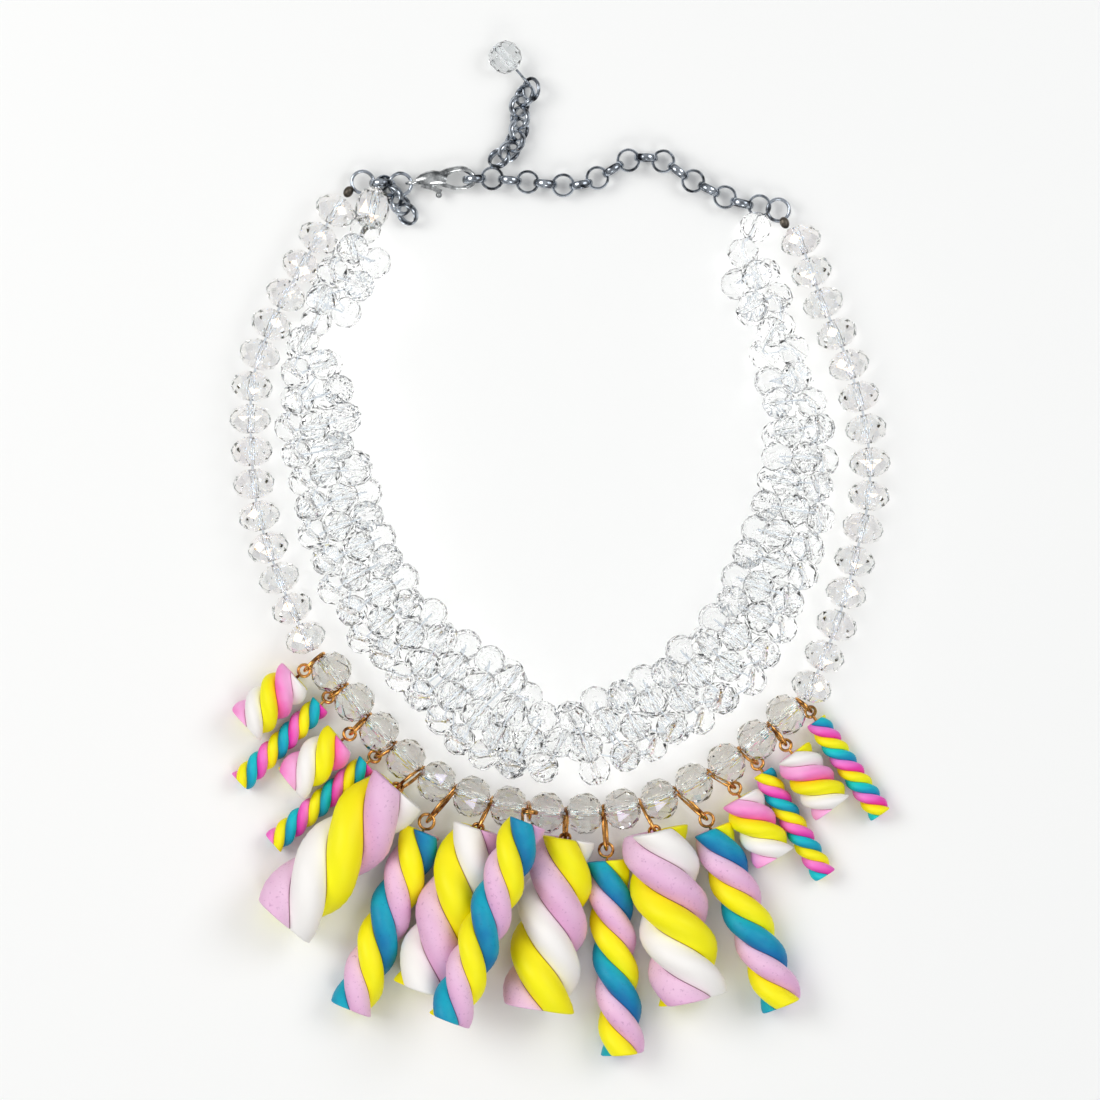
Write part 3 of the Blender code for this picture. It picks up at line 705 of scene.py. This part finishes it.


# The third colour of each clay is the painted shade in its creases.
CLAYS = {
    "lemon": clay("lemon clay", (252, 246, 0), (255, 240, 6), (150, 96, 20)),
    "milk": clay("milk clay", (246, 243, 240), (252, 248, 244), (150, 110, 96)),
    "lilac": clay("lilac clay", (229, 173, 213), (242, 202, 229), (104, 40, 84), 0.35),
    "teal": clay("teal clay", (0, 112, 174), (0, 172, 196), (8, 30, 66), 0.2, (0, 70, 110)),
    "candy": clay("candy pink clay", (247, 106, 192), (255, 184, 230), (160, 20, 70)),
    "berry": clay("berry pink clay", (237, 50, 172), (249, 134, 219), (140, 6, 66)),
    "aqua": clay("aqua clay", (0, 146, 190), (0, 206, 212), (8, 36, 76)),
}


def lobed_reach(angle):
    """How far the twist's section reaches at an angle from a crease, for a radius of one."""
    sector = 2 * np.pi / STRANDS
    from_peak = (angle % sector) - sector / 2
    aside = LOBE_OFFSET * np.sin(from_peak)
    reach = LOBE_OFFSET * np.cos(from_peak) + np.sqrt(LOBE_RADIUS**2 - aside**2)
    from_crease = sector / 2 - np.abs(from_peak)
    return reach - CREASE_DEPTH * np.exp(-((from_crease / CREASE_WIDTH) ** 2))


def add_charm(
    number, radius, eye_end, far_end, crease, spacing, rolls, hollow=False, neck=END_TAPER, lift=(0, 0)
):
    """One twist as a loft: rows of points from the eye end to the far end, a third to each roll."""
    start, end = place(eye_end, radius + lift[0]), place(far_end, radius + lift[1])
    length = np.linalg.norm(end - start)
    direction = (end - start) / length
    across, up = square_to(direction)
    turn_length = STRANDS * spacing * PIXEL
    rows = round(length / ROW_STEP)
    t = np.arange(STRANDS * COLUMNS) / COLUMNS
    angles = 2 * np.pi / STRANDS * (t - COLUMN_DRAW * np.sin(2 * np.pi * t))
    draw = np.random.default_rng(number)
    waves = draw.uniform(0, 2 * np.pi, (WAVES, 2))
    distances = np.concatenate([
        np.linspace(0, EDGE_ROUND, EDGE_ROWS)[:-1],
        np.linspace(EDGE_ROUND, length - EDGE_ROUND, rows),
        length - np.linspace(EDGE_ROUND, 0, EDGE_ROWS)[1:],
    ])
    rings = []
    for distance in distances:
        turned = 2 * np.pi * (distance - crease * PIXEL) / turn_length
        rise = min(distance / (TAPER_REACH * (1 - neck) * length + MM), 1.0)
        width = neck + (1 - neck) * math.sin(rise * math.pi / 2)
        to_end = min(distance, length - distance)
        rounding = max(1 - to_end / EDGE_ROUND, 0.0)
        width *= 1 - EDGE_SHARE * (1 - math.sqrt(1 - rounding**2))
        uneven = sum(
            math.sin(a + (k + 2) * WAVE_RATE * distance) * np.sin(b + (k % 2 + 1) * angles)
            for k, (a, b) in enumerate(waves)
        )
        reach = radius * width * lobed_reach(angles) * (1 + UNEVEN_SHARE * uneven)
        facing = np.pi / 2 + turned + angles
        offset = np.cos(facing)[:, None] * across + np.sin(facing)[:, None] * up
        rings.append(start + direction * distance + reach[:, None] * offset)
    if hollow:
        rim = rings[0] - start
        floor = start + direction * HOLLOW_DEPTH + HOLLOW_FLOOR * rim
        rings = [floor, start + (HOLLOW_RIM - HOLLOW_STEP) * rim, start + HOLLOW_RIM * rim, *rings]
    points = np.vstack(rings)
    points[:, 2] = np.maximum(points[:, 2], 0.0)
    columns = STRANDS * COLUMNS
    faces, strands, corners = [], [], []
    for row in range(len(rings) - 1):
        for column in range(columns):
            following = (column + 1) % columns
            base, after = row * columns, (row + 1) * columns
            faces.append((base + column, base + following, after + following, after + column))
            strands.append(column // COLUMNS)
            near, far = (column % COLUMNS) / COLUMNS, (column % COLUMNS + 1) / COLUMNS
            corners += [(near, row), (far, row), (far, row + 1), (near, row + 1)]
    for ring, outward in ((0, False), (len(rings) - 1, True)):
        middle = len(points)
        points = np.vstack([points, points[ring * columns:(ring + 1) * columns].mean(axis=0)])
        for column in range(columns):
            here, following = ring * columns + column, ring * columns + (column + 1) % columns
            near, far = (column % COLUMNS) / COLUMNS, (column % COLUMNS + 1) / COLUMNS
            if not outward:
                here, following, near, far = following, here, far, near
            faces.append((here, following, middle))
            strands.append(column // COLUMNS)
            corners += [(near, ring), (far, ring), (0.5, ring)]
    first, second, third = rolls.split()
    heap = Heap()
    heap.add((points, faces))
    name = f"mallow_twist_{number:02d}"
    by_column = [CLAYS[first], CLAYS[third], CLAYS[second]]
    piece = add_piece(name, heap, by_column, [f"clay_twist_{number:02d}"], sharp=50)
    piece.data.polygons.foreach_set("material_index", strands)
    layer = piece.data.uv_layers.new(name="roll")
    layer.data.foreach_set("uv", np.array(corners, np.float32).ravel())
    return start, direction


charm_ends = [add_charm(number + 1, *charm) for number, charm in enumerate(CHARMS)]

# A gold-plated pin is baked into each charm and its end is wound twice into an eye, which is
# smaller on the small charms. A jump ring of the same wire holds the eye and passes round
# the nylon line between two beads.
WIRE_RADIUS = 0.42 * MM
EYE_WIRE_RADIUS = 0.9 * WIRE_RADIUS
WIRE_SIDES = 12
LOOP_STEPS = 28
EYE_TURNS = 2
# How far the eye's turns spread to either side of its middle.
EYE_COIL = 0.36 * MM
SMALL_EYE = 0.80
# How far a ring leans out of the plane of its CAD ring, in radians.
RING_LEAN = 0.17
PIN_DEPTH = 2.0 * MM
# Dark patches in the plating, partly stains and partly painted dark reflection: how fine
# they are, where their noise sets in and is full, and how much rougher they are than clean metal.
STAIN_AND_REFLECTION_SCALE = 420
STAIN_AND_REFLECTION_RANGE = (0.42, 0.68)
STAIN_AND_REFLECTION_ROUGHNESS = 0.22


def metal_group():
    """Plated metal: gives the colour and the roughness of clean plating with dark patches in it, partly
    stains and partly painted dark reflection.
    """
    takes = {"Clean": "Color", "Stain And Dark Reflection": "Color", "Polish": "Float"}
    gives = {"Color": "Color", "Roughness": "Float"}
    group, nodes, links, inputs, outputs = new_group("plated metal", takes, gives)
    where = nodes.new("ShaderNodeTexCoord")
    # Patches of darker, rougher metal: partly stains, partly painted dark reflection.
    stains_and_reflections = nodes.new("ShaderNodeTexNoise")
    stains_and_reflections.inputs["Scale"].default_value = STAIN_AND_REFLECTION_SCALE
    stains_and_reflections.inputs["Detail"].default_value = 3.0
    links.new(where.outputs["Object"], stains_and_reflections.inputs["Vector"])
    mask = in_range(nodes, links, stains_and_reflections.outputs["Fac"], STAIN_AND_REFLECTION_RANGE).outputs["Result"]
    finish = mixed(nodes, links, mask, inputs.outputs["Clean"], inputs.outputs["Stain And Dark Reflection"])
    links.new(finish, outputs.inputs["Color"])
    rough = nodes.new("ShaderNodeMath")
    rough.operation = "MULTIPLY_ADD"
    rough.inputs[1].default_value = STAIN_AND_REFLECTION_ROUGHNESS
    links.new(mask, rough.inputs[0])
    links.new(inputs.outputs["Polish"], rough.inputs[2])
    links.new(rough.outputs["Value"], outputs.inputs["Roughness"])
    return group


METAL = metal_group()


def plated(name, clean, stain_and_dark_reflection, polish):
    """Plated metal in a clean colour and a dark colour that is partly stain and partly painted reflection,
    with the roughness of its clean parts.
    """
    made, tree, shader = new_material(name)
    finish = tree.nodes.new("ShaderNodeGroup")
    finish.node_tree = METAL
    finish.inputs["Clean"].default_value = linear(*clean)
    finish.inputs["Stain And Dark Reflection"].default_value = linear(*stain_and_dark_reflection)
    finish.inputs["Polish"].default_value = polish
    tree.links.new(finish.outputs["Color"], shader.inputs["Base Color"])
    tree.links.new(finish.outputs["Roughness"], shader.inputs["Roughness"])
    shader.inputs["Metallic"].default_value = 1.0
    return made


def lie_of(node):
    """A loop's middle, its long, short and normal directions and its half sizes, from its CAD node."""
    points = np.array([vertex.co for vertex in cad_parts[node].data.vertices])
    middle = points.mean(axis=0)
    ways = np.linalg.svd(points - middle, full_matrices=False)[2]
    spans = (points - middle) @ ways.T
    middle = middle + (spans.max(axis=0) + spans.min(axis=0)) / 2 @ ways
    return middle, ways, (spans.max(axis=0) - spans.min(axis=0)) / 2


def oval(middle, long, short, half_length, half_width):
    """The points of a closed oval line, along its long and its short direction."""
    angles = 2 * np.pi * np.arange(LOOP_STEPS) / LOOP_STEPS
    lengthwise = half_length * np.cos(angles)[:, None] * long
    return middle + lengthwise + half_width * np.sin(angles)[:, None] * short


# The gold's dark colour is painted dark reflection as well as stain.
gold = plated("gold plate", (234, 174, 98), (96, 48, 16), 0.10)
for number, (start, direction) in enumerate(charm_ends, 1):
    middle, (long, short, normal), (half_length, half_width, _) = lie_of(f"jump_ring_{number:02d}")
    leaning = math.cos(RING_LEAN) * short + math.sin(RING_LEAN) * normal
    bent = oval(middle, long, leaning, half_length - WIRE_RADIUS, half_width - WIRE_RADIUS)
    ring = Heap()
    ring.add(tube(bent, WIRE_RADIUS, WIRE_SIDES, closed=True))
    add_piece(f"gold_ring_{number:02d}", ring, [gold], [f"jump_ring_{number:02d}"], sharp=50)
    middle, (long, short, normal), (half_length, half_width, _) = lie_of(f"wire_eye_{number:02d}")
    small = CHARMS[number - 1][0] in (FAT_SMALL, THIN_SMALL)
    reach = (half_length - WIRE_RADIUS) * (SMALL_EYE if small else 1.0)
    turns = np.linspace(0, EYE_TURNS * 2 * np.pi, EYE_TURNS * LOOP_STEPS)
    toward = unit(start - middle - normal * normal.dot(start - middle))
    aside = np.cross(normal, toward)
    coil = middle + reach * (np.cos(turns)[:, None] * toward + np.sin(turns)[:, None] * aside)
    coil += (turns / turns[-1] - 0.5)[:, None] * 2 * EYE_COIL * normal
    pin = [coil[-1] * (1 - s) + (start + direction * PIN_DEPTH) * s for s in (0.25, 0.5, 1.0)]
    eye = Heap()
    eye.add(tube(np.vstack([coil, pin]), EYE_WIRE_RADIUS, sides=8))
    add_piece(f"wound_eye_{number:02d}", eye, [gold], [f"wire_eye_{number:02d}"], sharp=50)

# The neck chain is round steel links, each standing square to the last. It ends in jump
# rings, and a short tail of it hangs by the clasp. The extender branches off it and
# carries a cut glass bead on a pin.
CHAIN_ROUTE = [
    (474, 178), (489, 177), (529, 181), (578, 184), (606, 172), (632, 158), (661, 159), (692, 179),
    (735, 200), (760, 205),
]
EXTENDER_ROUTE = [(499, 157), (511, 148), (516, 138), (519, 127), (520, 116), (519, 105), (525, 94)]
TAIL_ROUTE = [(385, 185), (396, 199), (407, 213)]
CLASP_LINK = (380.7, 182)
LEFT_RING, CLASP_RING, RIGHT_RING, OPEN_RING = (362, 181), (400, 183), (779, 209), (531, 88)
LINK_RADIUS = 2.65 * MM
LINK_WIRE = 0.38 * MM
LINK_FLATNESS = 2.4
LINK_PITCH = 4.4 * MM
EXTENDER_PITCH = 3.1 * MM
TAIL_PITCH = 3.0 * MM
CHAIN_HEIGHT = 3.1 * MM
END_RING_RADIUS = 2.75 * MM
END_RING_WIRE = 0.45 * MM
OPEN_RING_LEAN = 0.8
# How far a row's first link is rolled from lying level. A loose row lies on its edges.
STANDING = math.pi / 2
ON_EDGE = math.pi / 4


def add_link(heap, middle, direction, roll):
    """A round link of flat wire, rolled about the chain's direction from lying level."""
    across, up = square_to(direction)
    short = math.cos(roll) * across + math.sin(roll) * up
    axis = np.cross(direction, short)
    bent = oval(middle, direction, short, LINK_RADIUS, LINK_RADIUS)
    points, faces = tube(bent, LINK_WIRE, WIRE_SIDES, closed=True)
    points += (LINK_FLATNESS - 1) * ((points - middle) @ axis)[:, None] * axis
    heap.add((points, faces))


def add_links(heap, route, pitch, first_roll):
    """Links along a route, each rolled square to the last."""
    path = smooth_path([place(pixel, CHAIN_HEIGHT) for pixel in route])
    links = round(path[1][-1] / pitch)
    for number in range(links + 1):
        roll = first_roll + (STANDING if number % 2 else 0.0)
        add_link(heap, *at(path, path[1][-1] * number / links), roll)


def add_end_ring(heap, pixel, lean=0.0):
    """A round jump ring that lies level, or leans to the right."""
    middle = place(pixel, CHAIN_HEIGHT)
    right, back = np.array([math.cos(lean), 0, math.sin(lean)]), np.array([0, 1.0, 0])
    bent = oval(middle, right, back, END_RING_RADIUS, END_RING_RADIUS)
    heap.add(tube(bent, END_RING_WIRE, WIRE_SIDES, closed=True))


# The near-black patches paint the chain's dark reflections into the steel, as well as stains.
steel = plated("dark steel", (188, 195, 204), (34, 36, 42), 0.06)
chain = Heap()
add_links(chain, CHAIN_ROUTE, LINK_PITCH, STANDING)
add_links(chain, EXTENDER_ROUTE, EXTENDER_PITCH, ON_EDGE)
add_end_ring(chain, RIGHT_RING)
add_end_ring(chain, OPEN_RING, OPEN_RING_LEAN)
add_piece("steel_chain", chain, [steel], ["neck_chain"], sharp=50)
short_chain = Heap()
add_link(short_chain, place(CLASP_LINK, CHAIN_HEIGHT), np.array([1.0, 0, 0]), STANDING)
add_links(short_chain, TAIL_ROUTE, TAIL_PITCH, ON_EDGE)
add_end_ring(short_chain, LEFT_RING)
add_end_ring(short_chain, CLASP_RING)
add_piece("steel_clasp_chain", short_chain, [steel], ["clasp_chain"], sharp=50)

# The clasp is a cast hook of the lobster kind, bright nickel. A sprung gate closes its mouth
# and is drawn back by the knob on its side. A small eye at its tail holds the end ring.
CLASP_EYE = (412.3, 182)
CLASP_EYE_RADIUS = 1.5 * MM
CLASP_EYE_WIRE = 0.5 * MM
# The third number at each place on the body is its half width there, in pixels.
CLASP_BODY = [
    (416, 179.5, 2.8), (421, 178.8, 5.8), (427, 178, 7.7), (433, 177.5, 8.3), (439, 177.5, 7.5),
    (446, 179.5, 5.2),
]
CLASP_CLAW = [
    (438, 175), (446, 171), (454, 168.5), (462, 167.8), (469, 170.5), (473.5, 176), (472.5, 182),
    (466, 186.5),
]
CLASP_GATE = [(437, 181), (446, 184.5), (455, 187), (466, 186.5)]
CLASP_LEVER = [(421, 184), (430, 186.5), (441, 191)]
CLASP_KNOB = (438.5, 194)
CLASP_HALF_THICKNESS = 1.3 * MM
CLAW_ROOT_MM, CLAW_TIP_MM = 0.95, 0.55
GATE_RADIUS = 0.55 * MM
LEVER_RADIUS = 0.62 * MM
KNOB_RADIUS = 0.8 * MM

nickel = plated("bright nickel", (224, 226, 226), (110, 112, 114), 0.08)
clasp = Heap()
half_widths = [mark[2] * PIXEL for mark in CLASP_BODY]
body_points, body_faces = tube([place(mark, 0) for mark in CLASP_BODY], half_widths, sides=20)
body_points[:, 2] *= CLASP_HALF_THICKNESS / body_points[:, 2].max()
body_points[:, 2] += CHAIN_HEIGHT
clasp.add((body_points, body_faces))
claw = smooth_path([place(pixel, CHAIN_HEIGHT) for pixel in CLASP_CLAW], steps=8)[0]
clasp.add(tube(claw, np.linspace(CLAW_ROOT_MM, CLAW_TIP_MM, len(claw)) * MM, sides=14))
for route, radius in ((CLASP_GATE, GATE_RADIUS), (CLASP_LEVER, LEVER_RADIUS)):
    bar = smooth_path([place(pixel, CHAIN_HEIGHT) for pixel in route], steps=8)[0]
    clasp.add(tube(bar, radius, sides=12))
knob = bmesh.new()
bmesh.ops.create_uvsphere(knob, u_segments=18, v_segments=12, radius=KNOB_RADIUS)
knob.verts.index_update()
knob_points = np.array([vertex.co[:] for vertex in knob.verts]) + place(CLASP_KNOB, CHAIN_HEIGHT)
# The ball's faces come in another order each run, so they are sorted.
clasp.add((knob_points, sorted(tuple(vertex.index for vertex in face.verts) for face in knob.faces)))
knob.free()
eye_middle = place(CLASP_EYE, CHAIN_HEIGHT)
right, up = np.array([1.0, 0.0, 0.0]), np.array([0.0, 0.0, 1.0])
clasp.add(tube(oval(eye_middle, right, up, CLASP_EYE_RADIUS, CLASP_EYE_RADIUS), CLASP_EYE_WIRE, closed=True))
add_piece("lobster_clasp", clasp, [nickel], ["clasp"], sharp=50)

# A shell of thin plated metal, dark and dull, is folded and pressed over the knots at each
# end of the strands, next to the last ring.
LEFT_CRIMP, RIGHT_CRIMP = (348, 191), (785, 222)
LEFT_CRIMP_WAY, RIGHT_CRIMP_WAY = (-0.55, -0.83), (0.45, -0.89)
CRIMP_HEIGHT = 4.6 * MM
CRIMP_LENGTH = 1.5 * MM
CRIMP_RADIUS = 1.05 * MM
CRIMP_LIP = 0.1 * MM
# Over one, so that the shell doesn't close to a point.
CRIMP_BLUNTNESS = 1.05
CRIMP_ROWS = 9

dull_shell = plated("dull dark shell", (112, 104, 94), (56, 52, 48), 0.3)
crimps = (("left", LEFT_CRIMP, LEFT_CRIMP_WAY), ("right", RIGHT_CRIMP, RIGHT_CRIMP_WAY))
for side, pixel, heading in crimps:
    middle = place(pixel, CRIMP_HEIGHT)
    way = np.array([*heading, 0.0])
    stretch = np.linspace(-1, 1, CRIMP_ROWS)
    swell = CRIMP_RADIUS * np.sqrt(CRIMP_BLUNTNESS - stretch**2) + CRIMP_LIP
    shell = Heap()
    shell.add(tube([middle + CRIMP_LENGTH * s * way for s in stretch], swell, sides=14))
    add_piece(f"{side}_knot_shell", shell, [dull_shell], [f"{side}_crimp"], sharp=60)

# One cut bead of bright crystal finishes the extender. It sits on a steel pin, whose end is
# bent into a loop that hangs in the chain's last ring.
DANGLE_PIN = [(523, 76), (516, 68)]
DANGLE_BEAD = (505, 56)
DANGLE_RADIUS = 4.15 * MM
DANGLE_HALF_LENGTH = 3.85 * MM
DANGLE_SPIN = 0.3
PIN_LOOP_RADIUS = 1.4 * MM
PIN_WIRE = 0.9 * LINK_WIRE

loop_end, bead_end = [place(pixel, CHAIN_HEIGHT) for pixel in DANGLE_PIN]
way = unit(loop_end - bead_end)
_, up = square_to(way)
loop = oval(loop_end + PIN_LOOP_RADIUS * way, way, up, PIN_LOOP_RADIUS, PIN_LOOP_RADIUS)
pin = Heap()
pin.add(tube(loop, PIN_WIRE, closed=True))
pin.add(tube([loop_end, (loop_end + bead_end) / 2, bead_end], PIN_WIRE))
add_piece("dangle_wire", pin, [steel], ["dangle_pin"], sharp=50)
crystal_glass = cut_glass(
    "bright crystal", first_tint=(0.89, 0.925, 0.935), second_tint=(0.985, 0.985, 0.99),
    ior=1.64, film_nm=0, coat=0.0, lamp_share=0.55,
)
dangle_cut = cut_bead(DANGLE_RADIUS, DANGLE_HALF_LENGTH, ROUND_CUT, sides=12)
dangle = Heap()
dangle.add_bead(dangle_cut, place(DANGLE_BEAD, DANGLE_RADIUS), way, DANGLE_SPIN)
add_piece("dangle_cut_bead", dangle, [crystal_glass], ["dangle_bead"])
